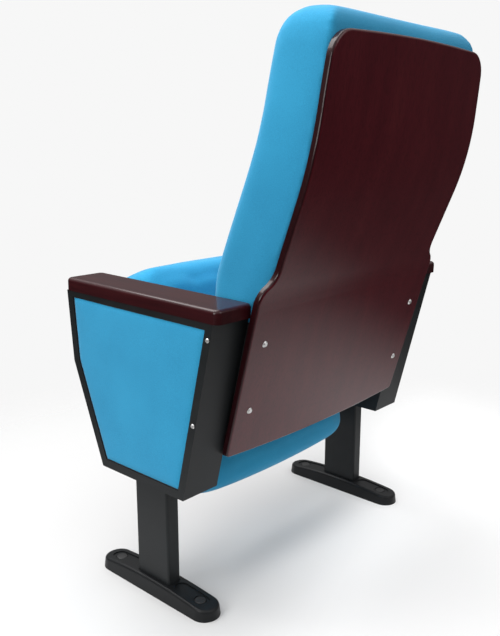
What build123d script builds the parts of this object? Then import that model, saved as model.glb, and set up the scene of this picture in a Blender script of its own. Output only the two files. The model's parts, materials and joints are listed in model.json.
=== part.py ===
from build123d import *
import os
from math import cos, hypot, radians, sin, sqrt, tan

# Conference chair with a tip-up seat, in millimetres and degrees.
# X points to the sitter's left, Y to the rear and Z up. The origin is on the floor, midway
# between the two columns, at the centre of the four floor bolts.

# Arm boxes
ARM_PITCH = 612.0  # between the centres of the two arm boxes
ARM_WIDTH = 84.0  # across one arm box
ARM_BASE = 238.0  # underside of the arm boxes above the floor
ARM_TOP = 567.0  # top of the arm boxes at their rear corner
ARM_RISE = 1.0  # slope of the top, up towards the front
ARM_REAR = 118.6  # rear bottom corner, behind the column's centre
ARM_REAR_LEAN = 13.5  # rear face, from upright
ARM_FRONT = 107.0  # front bottom corner, ahead of the column's centre
ARM_FRONT_REACH = 195.0  # front top corner, ahead of the column's centre
ARM_BEND_SET = 11.0  # bend in the front face, behind the front top corner
ARM_BEND_HEIGHT = 436.0
SHEET = 2.0  # steel sheet of the arm boxes
RIM = 16.0  # width of the rim round the fabric panel
RIM_TOP = 11.0  # the same rim under the armrest
PANEL_BOARD = 9.0  # board behind the fabric panel
PANEL_LAP = 5.0  # board hidden behind the rim
PANEL_PAD = 2.4  # fabric and foam on the board
PANEL_EDGE = 1.2  # rounding of the fabric's edge
PANEL_ROOM = 0.4  # between the fabric and the rim

# Armrests
ARMREST_THICKNESS = 24.0
ARMREST_OVERHANG = 1.0  # past each side of the arm box
ARMREST_FRONT = 3.0  # past the front of the arm box
ARMREST_BACK_ROOM = 4.0  # to the outer back
ARMREST_CORNER = 12.0  # corners seen from above
ARMREST_EDGE = 7.0  # rounding of the top edges
ARMREST_SCREW = 2.4  # radius of a screw
ARMREST_SCREW_HEAD = 4.5  # radius of its head
ARMREST_SCREW_DEPTH = 15.0  # length in the wood
ARMREST_SCREW_PITCH = 130.0
SCREW_ROOM = 0.1  # round the shank of a screw

# Columns and feet
COLUMN_DEPTH = 90.0  # front to rear
COLUMN_WIDTH = 30.0
COLUMN_WALL = 2.5
COLUMN_CORNER = 5.0
COLUMN_ROOM = 0.2  # round the column in the foot and the arm box
FOOT_LENGTH = 310.0
FOOT_WIDTH = 58.0
FOOT_HEIGHT = 30.0  # beside the column
FOOT_END_HEIGHT = 20.0
FOOT_DRAFT = 7.0  # slope of the sides
FOOT_EDGE = 6.0  # rounding of the top edge
FOOT_SOCKET = 14.0  # depth that the column stands in the foot
TROUGH_DEPTH = 2.0  # sunk top of the foot, in front of and behind the column
TROUGH_RIM = 10.0  # raised border of the trough
TROUGH_GAP = 6.0  # from the column to the trough
FLOOR_BOLT_PITCH = 228.0  # along one foot
FLOOR_BOLT = 5.5  # radius of a floor bolt's hole
FLOOR_BOLT_SEAT = 12.0  # radius of its sunk seat
FLOOR_BOLT_SINK = 4.0

# Outer back, a one-piece moulded plywood panel
BACK_GAP = 4.2  # behind the arm boxes, at the lower corners
BACK_EXTRA_LEAN = 2.0  # lower part, more than the arm boxes lean
BACK_THICKNESS = 12.0
BACK_EDGE = 4.0  # rounding of the rear edge
BACK_BASE = 303.0  # lower corners
BACK_BOW = 11.0  # middle of the lower edge below its corners
BACK_TOP = 1009.0  # upper corners
BACK_ARCH = 7.0  # middle of the upper edge above its corners
BACK_LAP = 13.0  # lower part, past the seat side of the arm boxes
BACK_BASE_TAPER = 6.0  # lower corners, drawn in
BACK_NECK = 247.0  # half width above the armrests
BACK_WAIST = 249.0  # half width at the widest place above the neck
BACK_HEAD = 236.0  # half width at the top
BACK_NECK_HEIGHT = 650.0
BACK_WAIST_HEIGHT = 740.0
BACK_SHOULDER_HEIGHT = 592.0  # where the lower part starts to draw in
BACK_CORNER = 46.0
BACK_LOW_CORNER = 10.0
HIP_TOP = 580.0  # end of the straight lower part
LUMBAR_TURN = 6.0
LUMBAR_RADIUS = 410.0
SPINE_LENGTH = 145.0  # straight part above the lumbar bend
SHOULDER_TURN = 14.5
SHOULDER_RADIUS = 572.0

# Back pad and the board that carries it
BACK_SPACE = 3.0  # between the outer back and the inner board
BACK_BOARD = 9.0
BACK_BOARD_INSET = 16.0  # edge of the board inside the pad's edge
BACK_BOARD_BASE = 362.0
BACK_BOARD_TOP = 990.0
BACK_BOARD_CORNER = 40.0
PAD_ROOM = 0.3  # between a pad and its board
PAD_DRAW = 3.0  # sides of a pad drawn in towards its edges
BACK_PAD_BASE = 420.0
BACK_PAD_TOP = 1046.0
BACK_PAD_HIP = 98.0  # pad's front edge to the outer back, at its lower end
BACK_PAD_LUMBAR = 132.0
BACK_PAD_HEAD = 113.0
BACK_PAD_CROWN = 14.0
BACK_PAD_EDGE = 30.0  # rounding of the front edges
BACK_PAD_REAR_EDGE = 4.0
BACK_PAD_PANEL_ROOM = 0.8  # from the pad's lips to the outer back
BACK_PAD_TOP_ROUND = 50.0
BACK_PAD_BASE_ROUND = 34.0
BACK_PAD_CORNER = 50.0
BACK_PAD_MIDDLES = 6  # sections from the lips' lower ends to the rounded top
BACK_PAD_LIP = 15.0  # height over which the lips reach the outer back
BACK_PAD_REAR_SHARE = 0.75  # rounding of the top's rear, as a share of its front
SPACER_RADIUS = 18.0
SPACER_REACH = 150.0  # from the middle of the back

# Brackets that carry the back
BRACKET_SHEET = 3.0
BRACKET_BELOW = 26.0  # below the lower bolt of the arm box
BRACKET_ABOVE = 17.0  # above the upper one
BRACKET_LEG = 22.0  # on the arm box, ahead of its rear face
BRACKET_FLANGE = 46.0  # along the outer back
BACK_SCREW_REACH = 27.0  # from the seat side of an arm box to a screw of the outer back
BACK_SCREW_HEIGHTS = (392.0, 519.0)
BACK_SCREW = 3.0  # radius
BACK_SCREW_HEAD = 6.0
BACK_SCREW_DOME = 2.6
BACK_NUT = 5.0  # radius of the nut on the bracket
BACK_NUT_DEPTH = 4.5
ARM_BOLT = 2.5  # radius of the bolts through an arm box
ARM_BOLT_HEAD = 4.2
ARM_BOLT_DOME = 1.8
ARM_BOLT_INSET = 7.0  # from the rear face of the arm box
ARM_BOLT_HEIGHTS = (384.0, 539.0)
ARM_NUT = 5.0  # thickness of a nut on the bracket

# Seat pivot
PIVOT_REACH = 92.0  # ahead of the column's centre
PIVOT_HEIGHT = 338.0
SEAT_TIPPED = 69.0  # slope of the seat when it is tipped up, as modelled
SEAT_DOWN = 4.0  # slope of the seat in use
BEARER_HEIGHT = 70.0
BEARER_END = 18.0  # past the pivot
BEARER_WALL = 3.0
PLATE_THICKNESS = 5.0
PLATE_RADIUS = 46.0
PLATE_CORNER = 14.0
PLATE_BOLT_REACH = 22.0  # behind the column's centre
PLATE_BOLT_PITCH = 42.0
PLATE_BOLT = 4.0  # radius
PLATE_BOLT_HEAD = 7.5
PLATE_BOLT_LENGTH = 16.0
PIN_RADIUS = 8.0
PIN_ROOT_RADIUS = 10.0  # in the plate and the bearer
PIN_COLLAR = 14.0
PIN_END = 6.0  # past the clip
PIN_ROOT_END = 6.0  # past the bearer's wall
RUNNING_ROOM = 0.06  # round the pin in its bush
FACE_ROOM = 0.3  # between the collar and the bush
BUSH_RADIUS = 11.0
BUSH_FLANGE = 16.0
BUSH_FLANGE_THICKNESS = 4.0
BUSH_LENGTH = 11.0  # through the rail's web and past it
CLIP_THICKNESS = 2.0
CLIP_RADIUS = 11.0
CLIP_GROOVE = 1.0  # depth of the clip's groove
CLIP_ROOM = 0.05
STOP_REACH = 30.0  # from the pivot to the stop pin
STOP_RADIUS = 4.0
STOP_SLEEVE = 6.0  # outer radius of the rubber sleeve
STOP_ROOM = 0.4  # round the sleeve in its slot and at the slot's ends
STOP_TIP_ROOM = 0.6  # from the stop pin's tip to the arm box

# Seat
SEAT_DEPTH = 453.0
SEAT_REAR = 198.0  # rear end, behind the pivot
SEAT_SIDE_ROOM = 16.0  # to the arm boxes
SEAT_PAD_HEIGHT = 85.0  # side edge of the pad above the pivot
SEAT_PAD_CROWN = 14.0
SEAT_PAD_EDGE = 28.0
SEAT_PAD_LOW_EDGE = 6.0
SEAT_PAD_ROUND = 42.0  # front and rear ends
SEAT_PAD_CORNER = 45.0
SEAT_BOW = 10.0  # middle of the pad's front and rear edges past their corners
SEAT_PAD_LOW_ROUND = 12.0  # lower edges of the ends
SEAT_SKIRT = 8.0  # pad beside the rails
SEAT_NOSE = 22.0  # pad in front of and behind the board
SKIRT_HOLE_ROOM = 2.0  # round the bush and the stop pin
SEAT_POCKET_CORNER = 30.0
SEAT_BOARD = 10.0
SEAT_PAN = 10.0
SEAT_PAN_INSET = 10.0
SEAT_PAN_CORNER = 42.0
SEAT_PAN_EDGE = 4.0
RAIL_HEIGHT = 32.0
RAIL_SHEET = 3.0
RAIL_FLANGE = 27.0
RAIL_END_ROOM = 32.0  # from the rails' ends to the ends of the seat board
WEIGHT_DEPTH = 42.0
WEIGHT_INSET = 4.0  # from the rear end of the rails
FRONT_BAR_DEPTH = 30.0
FRONT_BAR_WALL = 2.0
SEAT_SCREW = 2.5  # radius
SEAT_SCREW_HEAD = 4.5
SEAT_SCREW_DOME = 2.0
SEAT_SCREW_DEPTH = 7.0  # in the boards
SEAT_SCREW_PITCH = 150.0

os.makedirs("parts", exist_ok=True)

SIDES = {"left": 1, "right": -1}
ARM_CENTRE = ARM_PITCH / 2
ARM_INNER = ARM_CENTRE - ARM_WIDTH / 2
ARM_OUTER = ARM_CENTRE + ARM_WIDTH / 2
CHANNEL_INNER = ARM_INNER + SHEET
CHANNEL_WIDTH = ARM_WIDTH - SHEET


def save(piece, name):
    """Name a finished piece and write it to its file."""
    piece.part.label = name
    export_step(piece.part, f"parts/{name}.step")


def inset(corners, depths):
    """Corners of a closed outline whose edges are moved inwards, each by its own depth."""
    lines = []
    for (y0, z0), (y1, z1), depth in zip(corners, corners[1:] + corners[:1], depths):
        length = hypot(y1 - y0, z1 - z0)
        across, up = (z0 - z1) / length, (y1 - y0) / length
        lines.append((across, up, across * y0 + up * z0 + depth))
    moved = []
    for (a0, b0, c0), (a1, b1, c1) in zip(lines[-1:] + lines[:-1], lines):
        det = a0 * b1 - a1 * b0
        moved.append(((c0 * b1 - c1 * b0) / det, (a0 * c1 - a1 * c0) / det))
    return moved


def side_plane(side, near, depth):
    """Plane of a side view, for a solid that starts near the chair's middle and is depth wide."""
    return Plane.YZ.offset(near if side > 0 else -near - depth)


def outline_face(corners):
    """Face inside a closed run of straight edges, in the sketch at hand."""
    with BuildLine() as outline:
        Polyline(*corners, close=True)
    make_face(outline.edges())


# Outline of an arm box from the side, from its rear bottom corner upwards and round


def arm_rear(height):
    """Rear face of the arm boxes at a height."""
    return ARM_REAR + (height - ARM_BASE) * tan(radians(ARM_REAR_LEAN))


ARM_BEND_REACH = ARM_FRONT_REACH - ARM_BEND_SET
ARM_REAR_TOP = (arm_rear(ARM_TOP), ARM_TOP)
ARM_FRONT_TOP = (
    -ARM_FRONT_REACH,
    ARM_TOP + (ARM_REAR_TOP[0] + ARM_FRONT_REACH) * tan(radians(ARM_RISE)),
)
ARM_OUTLINE = [
    (ARM_REAR, ARM_BASE),
    ARM_REAR_TOP,
    ARM_FRONT_TOP,
    (-ARM_BEND_REACH, ARM_BEND_HEIGHT),
    (-ARM_FRONT, ARM_BASE),
]
RIM_WIDTHS = [RIM, RIM_TOP, RIM, RIM, RIM]
ARM_HOLLOW = inset(ARM_OUTLINE, [SHEET] * len(ARM_OUTLINE))
ARM_WINDOW = inset(ARM_OUTLINE, RIM_WIDTHS)
rear_edge, top_edge, upper_edge, lower_edge, bottom_edge = zip(
    ARM_OUTLINE,
    ARM_OUTLINE[1:] + ARM_OUTLINE[:1],
    ARM_WINDOW[1:] + ARM_WINDOW[:1],
    ARM_WINDOW,
)
CHANNEL_EDGES = {
    "rear": [rear_edge],
    "top": [top_edge],
    "front": [upper_edge, lower_edge],
    "bottom": [bottom_edge],
}
ARM_BOLT_PLACES = [
    (arm_rear(height) - ARM_BOLT_INSET / cos(radians(ARM_REAR_LEAN)), height)
    for height in ARM_BOLT_HEIGHTS
]

# Side line of the outer back's front face, from below the lower edge to the top of the pad

BACK_LEAN = ARM_REAR_LEAN + BACK_EXTRA_LEAN
HEAD_LEAN = BACK_LEAN + LUMBAR_TURN - SHOULDER_TURN
BACK_START = BACK_BASE - 2 * BACK_BOW


def back_face(height):
    """Front face of the outer back's straight lower part at a height."""
    lower_corner = arm_rear(BACK_BASE) + BACK_GAP
    return lower_corner + (height - BACK_BASE) * tan(radians(BACK_LEAN))


with BuildLine(Plane.YZ) as back_line:
    hip = Line((back_face(BACK_START), BACK_START), (back_face(HIP_TOP), HIP_TOP))
    lumbar = JernArc(hip @ 1, hip % 1, LUMBAR_RADIUS, -LUMBAR_TURN)
    spine = Line(lumbar @ 1, lumbar @ 1 + (lumbar % 1) * SPINE_LENGTH)
    shoulder = JernArc(spine @ 1, spine % 1, SHOULDER_RADIUS, SHOULDER_TURN)
    head_length = (BACK_PAD_TOP - (shoulder @ 1).Z) / cos(radians(HEAD_LEAN))
    head = Line(shoulder @ 1, shoulder @ 1 + (shoulder % 1) * head_length)
back_path = back_line.wires()[0]


def back_length(height):
    """Distance along the back's side line to a height on its straight lower part."""
    return (height - BACK_START) / cos(radians(BACK_LEAN))


def back_section(distance):
    """Plane square to the back's side line: X across, Y towards the rear."""
    origin = back_path.position_at(distance, position_mode=PositionMode.LENGTH)
    along = back_path.tangent_at(distance, position_mode=PositionMode.LENGTH)
    return Plane(origin, x_dir=(1, 0, 0), z_dir=along)


def back_normal(distance, across, depth=0.0):
    """Plane that faces the rear, at a place on the back's front face or depth behind it."""
    section = back_section(distance)
    rear = section.y_dir
    return Plane(section.origin + Vector(across, 0, 0) + rear * depth, x_dir=(1, 0, 0), z_dir=rear)


BRACKET_BASE = min(ARM_BOLT_HEIGHTS) - BRACKET_BELOW
BRACKET_TOP = max(ARM_BOLT_HEIGHTS) + BRACKET_ABOVE
BACK_SCREW_X = ARM_INNER - BACK_SCREW_REACH
BACK_SCREW_PLACES = [
    (back_length(height), sign * BACK_SCREW_X)
    for height in BACK_SCREW_HEIGHTS
    for sign in SIDES.values()
]

# Seat frame of reference, tipped up about the pivot: forward along the seat and up out of the pad

SEAT_FORWARD = Vector(0, -cos(radians(SEAT_TIPPED)), sin(radians(SEAT_TIPPED)))
SEAT_UP = Vector(0, sin(radians(SEAT_TIPPED)), cos(radians(SEAT_TIPPED)))
PIVOT = Vector(0, -PIVOT_REACH, PIVOT_HEIGHT)


def seat_section(forward):
    """Plane across the seat: X across, Y up out of the pad, at a distance ahead of the pivot."""
    return Plane(PIVOT + SEAT_FORWARD * forward, x_dir=(1, 0, 0), z_dir=SEAT_FORWARD)


def seat_level(height):
    """Plane of the seat seen from above: X across, Y towards the seat's rear."""
    return Plane(PIVOT + SEAT_UP * height, x_dir=(1, 0, 0), z_dir=SEAT_UP)


def seat_side(side, near, depth):
    """Plane of the seat seen from its side: X towards the seat's rear, Y up out of the pad."""
    start = near if side > 0 else -near - depth
    return Plane(PIVOT + Vector(start, 0, 0), x_dir=-SEAT_FORWARD, z_dir=(1, 0, 0))


def end_inset(distance, radius):
    """How far a rounded end has drawn in at a distance from its tip."""
    if distance >= radius:
        return 0.0
    return radius - sqrt(radius**2 - (radius - distance) ** 2)


def pad_outline(half_width, low, high, crown, high_edge, low_edge):
    """Section of a pad: flat below, crowned above, sides drawn in towards rounded corners."""
    wall = high - low
    edge = half_width - PAD_DRAW
    middle = (high + low) / 2
    with BuildLine() as outline:
        Line((-edge, low), (edge, low))
        ThreePointArc((edge, low), (half_width, middle), (edge, high))
        ThreePointArc((edge, high), (0, high + crown), (-edge, high))
        ThreePointArc((-edge, high), (-half_width, middle), (-edge, low))
    make_face(outline.edges())
    fillet(vertices().sort_by(Axis.Y)[-2:], min(high_edge, 0.45 * wall))
    fillet(vertices().sort_by(Axis.Y)[:2], min(low_edge, 0.4 * wall))


# Feet, columns and arm boxes

TROUGH_START = COLUMN_DEPTH / 2 + TROUGH_GAP
TROUGH_LENGTH = FOOT_LENGTH / 2 - 2 * TROUGH_RIM - TROUGH_START
TROUGH_MIDDLE = TROUGH_START + TROUGH_LENGTH / 2
BOLT_SEAT = FOOT_END_HEIGHT - TROUGH_DEPTH - FLOOR_BOLT_SINK


def foot_profile(sink):
    """Arched side view of a foot, or of what lies sink below its top, in the sketch at hand."""
    ends = FOOT_END_HEIGHT - sink
    half = FOOT_LENGTH / 2
    with BuildLine() as outline:
        Polyline((-half, ends), (-half, 0), (half, 0), (half, ends))
        ThreePointArc((-half, ends), (0, FOOT_HEIGHT - sink), (half, ends))
    make_face(outline.edges())


def armrest_plane(side):
    """Plane of an armrest's underside: X across, Y towards the rear."""
    middle = (side * ARM_CENTRE, REST_CENTRE, (ARM_TOP + ARM_FRONT_TOP[1]) / 2)
    upwards = (0, sin(radians(ARM_RISE)), cos(radians(ARM_RISE)))
    return Plane(middle, x_dir=(1, 0, 0), z_dir=upwards)


REST_CENTRE = (ARM_REAR_TOP[0] - ARM_FRONT_REACH) / 2
REST_REAR = (back_face(ARM_TOP) - ARMREST_BACK_ROOM - REST_CENTRE) / cos(radians(ARM_RISE))
REST_FRONT = (ARM_FRONT_REACH + ARMREST_FRONT + REST_CENTRE) / cos(radians(ARM_RISE))

for name, side in SIDES.items():
    with BuildPart() as trough_cutter:
        with BuildSketch():
            for end in (1, -1):
                with Locations((side * ARM_CENTRE, end * TROUGH_MIDDLE)):
                    SlotOverall(TROUGH_LENGTH, FOOT_WIDTH - 3 * TROUGH_RIM, rotation=90)
        extrude(amount=FOOT_HEIGHT)
        with BuildSketch(Plane.YZ.offset(side * ARM_CENTRE)):
            foot_profile(TROUGH_DEPTH)
        extrude(amount=FOOT_WIDTH, both=True, mode=Mode.SUBTRACT)

    with BuildPart() as foot:
        with BuildSketch():
            with Locations((side * ARM_CENTRE, 0)):
                SlotOverall(FOOT_LENGTH, FOOT_WIDTH, rotation=90)
        extrude(amount=FOOT_HEIGHT, taper=FOOT_DRAFT)
        with BuildSketch(Plane.YZ.offset(side * ARM_CENTRE)):
            foot_profile(0)
        extrude(amount=FOOT_WIDTH, both=True, mode=Mode.INTERSECT)
        fillet(foot.faces().sort_by(Axis.Z)[-1].edges(), FOOT_EDGE)
        add(trough_cutter.part, mode=Mode.SUBTRACT)
        with BuildSketch(Plane.XY.offset(FOOT_HEIGHT)):
            with Locations((side * ARM_CENTRE, 0)):
                Rectangle(COLUMN_WIDTH + 2 * COLUMN_ROOM, COLUMN_DEPTH + 2 * COLUMN_ROOM)
        extrude(amount=-FOOT_SOCKET, mode=Mode.SUBTRACT)
        with Locations(Plane.XY.offset(FOOT_HEIGHT)):
            with Locations((side * ARM_CENTRE, 0)):
                with GridLocations(0, FLOOR_BOLT_PITCH, 1, 2):
                    CounterBoreHole(FLOOR_BOLT, FLOOR_BOLT_SEAT, FOOT_HEIGHT - BOLT_SEAT)
    save(foot, f"{name}_foot")

    with BuildPart() as column:
        with BuildSketch(Plane.XY.offset(FOOT_HEIGHT - FOOT_SOCKET)):
            with Locations((side * ARM_CENTRE, 0)):
                RectangleRounded(COLUMN_WIDTH, COLUMN_DEPTH, COLUMN_CORNER)
                RectangleRounded(
                    COLUMN_WIDTH - 2 * COLUMN_WALL,
                    COLUMN_DEPTH - 2 * COLUMN_WALL,
                    COLUMN_CORNER - COLUMN_WALL,
                    mode=Mode.SUBTRACT,
                )
        extrude(amount=ARM_TOP - SHEET - COLUMN_ROOM - (FOOT_HEIGHT - FOOT_SOCKET))
    save(column, f"{name}_column")

    for place, edges in CHANNEL_EDGES.items():
        with BuildPart() as channel:
            with BuildSketch(side_plane(side, CHANNEL_INNER, CHANNEL_WIDTH)):
                for corners in edges:
                    outline_face(corners)
            extrude(amount=CHANNEL_WIDTH)
            hollow_width = CHANNEL_WIDTH - 2 * SHEET
            with BuildSketch(side_plane(side, CHANNEL_INNER + SHEET, hollow_width)):
                outline_face(ARM_HOLLOW)
            extrude(amount=hollow_width, mode=Mode.SUBTRACT)
            if place == "rear":
                with BuildSketch(side_plane(side, CHANNEL_INNER, CHANNEL_WIDTH)):
                    with Locations(*ARM_BOLT_PLACES):
                        Circle(ARM_BOLT + SCREW_ROOM)
                extrude(amount=CHANNEL_WIDTH, mode=Mode.SUBTRACT)
            if place == "bottom":
                with BuildSketch(Plane.XY.offset(ARM_BASE)):
                    with Locations((side * ARM_CENTRE, 0)):
                        RectangleRounded(
                            COLUMN_WIDTH + 2 * COLUMN_ROOM,
                            COLUMN_DEPTH + 2 * COLUMN_ROOM,
                            COLUMN_CORNER + COLUMN_ROOM,
                        )
                extrude(amount=SHEET, mode=Mode.SUBTRACT)
            if place == "top":
                with BuildSketch(armrest_plane(side)):
                    with GridLocations(0, ARMREST_SCREW_PITCH, 1, 3):
                        Circle(ARMREST_SCREW + SCREW_ROOM)
                extrude(amount=-SHEET, mode=Mode.SUBTRACT)
        save(channel, f"{name}_arm_{place}")

    with BuildPart() as cover:
        with BuildSketch(side_plane(side, ARM_INNER, SHEET)):
            outline_face(ARM_OUTLINE)
            with Locations(*ARM_BOLT_PLACES):
                Circle(ARM_BOLT + SCREW_ROOM, mode=Mode.SUBTRACT)
            with Locations((-PIVOT_REACH, PIVOT_HEIGHT)):
                Circle(PIN_ROOT_RADIUS, mode=Mode.SUBTRACT)
            with Locations((PLATE_BOLT_REACH, PIVOT_HEIGHT)):
                with GridLocations(0, PLATE_BOLT_PITCH, 1, 2):
                    Circle(PLATE_BOLT + SCREW_ROOM, mode=Mode.SUBTRACT)
        extrude(amount=SHEET)
    save(cover, f"{name}_arm_cover")

    with BuildPart() as panel_board:
        with BuildSketch(side_plane(side, ARM_OUTER - SHEET - PANEL_BOARD, PANEL_BOARD)):
            outline_face(inset(ARM_OUTLINE, [width - PANEL_LAP for width in RIM_WIDTHS]))
        extrude(amount=PANEL_BOARD)
    save(panel_board, f"{name}_panel_board")

    with BuildPart() as panel_pad:
        with BuildSketch(side_plane(side, ARM_OUTER - SHEET, PANEL_PAD)):
            outline_face(inset(ARM_OUTLINE, [width + PANEL_ROOM for width in RIM_WIDTHS]))
        extrude(amount=PANEL_PAD)
        outer_face = panel_pad.faces().sort_by(Axis.X)[-1 if side > 0 else 0]
        fillet(outer_face.edges(), PANEL_EDGE)
    save(panel_pad, f"{name}_panel_fabric")

    with BuildPart() as armrest:
        with BuildSketch(armrest_plane(side)):
            with Locations((0, (REST_REAR - REST_FRONT) / 2)):
                RectangleRounded(
                    ARM_WIDTH + 2 * ARMREST_OVERHANG, REST_REAR + REST_FRONT, ARMREST_CORNER
                )
        extrude(amount=ARMREST_THICKNESS)
        fillet(armrest.faces().sort_by(Axis.Z)[-1].edges(), ARMREST_EDGE)
        with BuildSketch(armrest_plane(side)):
            with GridLocations(0, ARMREST_SCREW_PITCH, 1, 3):
                Circle(ARMREST_SCREW + SCREW_ROOM)
        extrude(amount=ARMREST_SCREW_DEPTH + SCREW_ROOM, mode=Mode.SUBTRACT)
    save(armrest, f"{name}_armrest")

    with BuildPart() as armrest_screws:
        with BuildSketch(armrest_plane(side).offset(-SHEET)):
            with GridLocations(0, ARMREST_SCREW_PITCH, 1, 3):
                Circle(ARMREST_SCREW)
        extrude(amount=SHEET + ARMREST_SCREW_DEPTH)
        with BuildSketch(armrest_plane(side).offset(-SHEET)):
            with GridLocations(0, ARMREST_SCREW_PITCH, 1, 3):
                Circle(ARMREST_SCREW_HEAD)
        extrude(amount=-ARMREST_SCREW, taper=20)
    save(armrest_screws, f"{name}_armrest_screws")

    with BuildPart() as arm_bolts:
        nut_face = ARM_INNER - BRACKET_SHEET
        with BuildSketch(side_plane(side, nut_face - ARM_NUT, ARM_OUTER - nut_face + ARM_NUT)):
            with Locations(*ARM_BOLT_PLACES):
                Circle(ARM_BOLT)
        extrude(amount=ARM_OUTER - nut_face + ARM_NUT)
        with BuildSketch(side_plane(side, nut_face - ARM_NUT, ARM_NUT)):
            with Locations(*ARM_BOLT_PLACES):
                RegularPolygon(ARM_BOLT_HEAD, 6)
        extrude(amount=ARM_NUT)
        with BuildSketch(side_plane(side, ARM_OUTER, 0)):
            with Locations(*ARM_BOLT_PLACES):
                Circle(ARM_BOLT_HEAD)
        extrude(amount=side * ARM_BOLT_DOME, taper=35)
    save(arm_bolts, f"{name}_arm_bolts")

    with BuildPart() as bracket:
        with BuildSketch(side_plane(side, ARM_INNER - BRACKET_SHEET, BRACKET_SHEET)):
            leg = BRACKET_LEG / cos(radians(ARM_REAR_LEAN))
            outline_face(
                [
                    (arm_rear(BRACKET_BASE) - leg, BRACKET_BASE),
                    (back_face(BRACKET_BASE), BRACKET_BASE),
                    (back_face(BRACKET_TOP), BRACKET_TOP),
                    (arm_rear(BRACKET_TOP) - leg, BRACKET_TOP),
                ]
            )
            with Locations(*ARM_BOLT_PLACES):
                Circle(ARM_BOLT + SCREW_ROOM, mode=Mode.SUBTRACT)
        extrude(amount=BRACKET_SHEET)
        with BuildSketch(back_section(back_length(BRACKET_BASE))):
            with Locations((side * (ARM_INNER - BRACKET_FLANGE / 2), -BRACKET_SHEET / 2)):
                Rectangle(BRACKET_FLANGE, BRACKET_SHEET)
        extrude(amount=back_length(BRACKET_TOP) - back_length(BRACKET_BASE))
        for height in BACK_SCREW_HEIGHTS:
            with BuildSketch(back_normal(back_length(height), side * BACK_SCREW_X)):
                Circle(BACK_SCREW + SCREW_ROOM)
            extrude(amount=-BRACKET_SHEET, mode=Mode.SUBTRACT)
    save(bracket, f"{name}_back_bracket")

# Outer back, inner board and back pad

back_half = ARM_INNER + BACK_LAP

with BuildPart() as back_panel:
    with BuildSketch(back_section(0)):
        with Locations((0, BACK_THICKNESS / 2)):
            Rectangle(2 * back_half, BACK_THICKNESS)
    sweep(path=back_path)
    with BuildSketch(Plane.XZ):
        with BuildLine() as half_outline:
            lower = ThreePointArc(
                (0, BACK_BASE - BACK_BOW),
                ((back_half - BACK_BASE_TAPER) / 2, BACK_BASE - 0.75 * BACK_BOW),
                (back_half - BACK_BASE_TAPER, BACK_BASE),
            )
            flank = Line(lower @ 1, (back_half, BACK_SHOULDER_HEIGHT))
            middle = ((back_half + BACK_NECK) / 2, (BACK_SHOULDER_HEIGHT + BACK_NECK_HEIGHT) / 2)
            draw_in = TangentArc(flank @ 1, middle, tangent=flank % 1)
            neck = TangentArc(middle, (BACK_NECK, BACK_NECK_HEIGHT), tangent=draw_in % 1)
            waist = TangentArc(neck @ 1, (BACK_WAIST, BACK_WAIST_HEIGHT), tangent=neck % 1)
            upper = TangentArc(waist @ 1, (BACK_HEAD, BACK_TOP), tangent=waist % 1)
            ThreePointArc(
                upper @ 1,
                (BACK_HEAD / 2, BACK_TOP + 0.75 * BACK_ARCH),
                (0, BACK_TOP + BACK_ARCH),
            )
            mirror(about=Plane.YZ)
        make_face()
        fillet(vertices().filter_by_position(Axis.Y, BACK_TOP - 1, BACK_TOP + 1), BACK_CORNER)
        fillet(vertices().filter_by_position(Axis.Y, BACK_BASE - 1, BACK_BASE + 1), BACK_LOW_CORNER)
    extrude(amount=BACK_TOP, both=True, mode=Mode.INTERSECT)
    rear_faces = back_panel.faces().filter_by(lambda face: face.normal_at().Y > 0.5)
    rear_edges = rear_faces.edges()
    rim_edges = ShapeList(edge for edge in rear_edges if rear_edges.count(edge) == 1)
    fillet(rim_edges, BACK_EDGE)
    for distance, across in BACK_SCREW_PLACES:
        with BuildSketch(back_normal(distance, across)):
            Circle(BACK_SCREW + SCREW_ROOM)
        extrude(amount=BACK_THICKNESS, mode=Mode.SUBTRACT)
save(back_panel, "back_panel")


def edge_half(height):
    """Half width of the outer back at a height above its neck."""
    edge = waist if height < BACK_WAIST_HEIGHT else upper
    low, high = 0.0, 1.0
    while high - low > 0.001:
        middle = (low + high) / 2
        low, high = (middle, high) if (edge @ middle).Y < height else (low, middle)
    return (edge @ low).X


def board_outline(room, top):
    """Outline of the inner board with some room round it, in the sketch at hand."""
    low_half = BACK_NECK - BACK_BOARD_INSET + room
    high_half = BACK_HEAD - BACK_BOARD_INSET + room
    outline_face(
        [
            (-low_half, BACK_BOARD_BASE),
            (low_half, BACK_BOARD_BASE),
            (low_half, BACK_WAIST_HEIGHT),
            (high_half, top),
            (-high_half, top),
            (-low_half, BACK_WAIST_HEIGHT),
        ]
    )
    fillet(vertices().sort_by(Axis.Y)[-2:], BACK_BOARD_CORNER + room)


with BuildPart() as back_board:
    with BuildSketch(back_section(0)):
        with Locations((0, -BACK_SPACE - BACK_BOARD / 2)):
            Rectangle(2 * BACK_NECK, BACK_BOARD)
    sweep(path=back_path)
    with BuildSketch(Plane.XZ):
        board_outline(0, BACK_BOARD_TOP)
    extrude(amount=BACK_TOP, both=True, mode=Mode.INTERSECT)
save(back_board, "back_board")

with BuildPart() as back_screws:
    for distance, across in BACK_SCREW_PLACES:
        with BuildSketch(back_normal(distance, across, -BRACKET_SHEET)):
            RegularPolygon(BACK_NUT, 6)
        extrude(amount=-BACK_NUT_DEPTH)
        with BuildSketch(back_normal(distance, across, BACK_THICKNESS)):
            Circle(BACK_SCREW)
        extrude(amount=-(BACK_THICKNESS + BRACKET_SHEET + BACK_NUT_DEPTH))
        with BuildSketch(back_normal(distance, across, BACK_THICKNESS)):
            Circle(BACK_SCREW_HEAD)
        extrude(amount=BACK_SCREW_DOME, taper=40)
save(back_screws, "back_screws")

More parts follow.
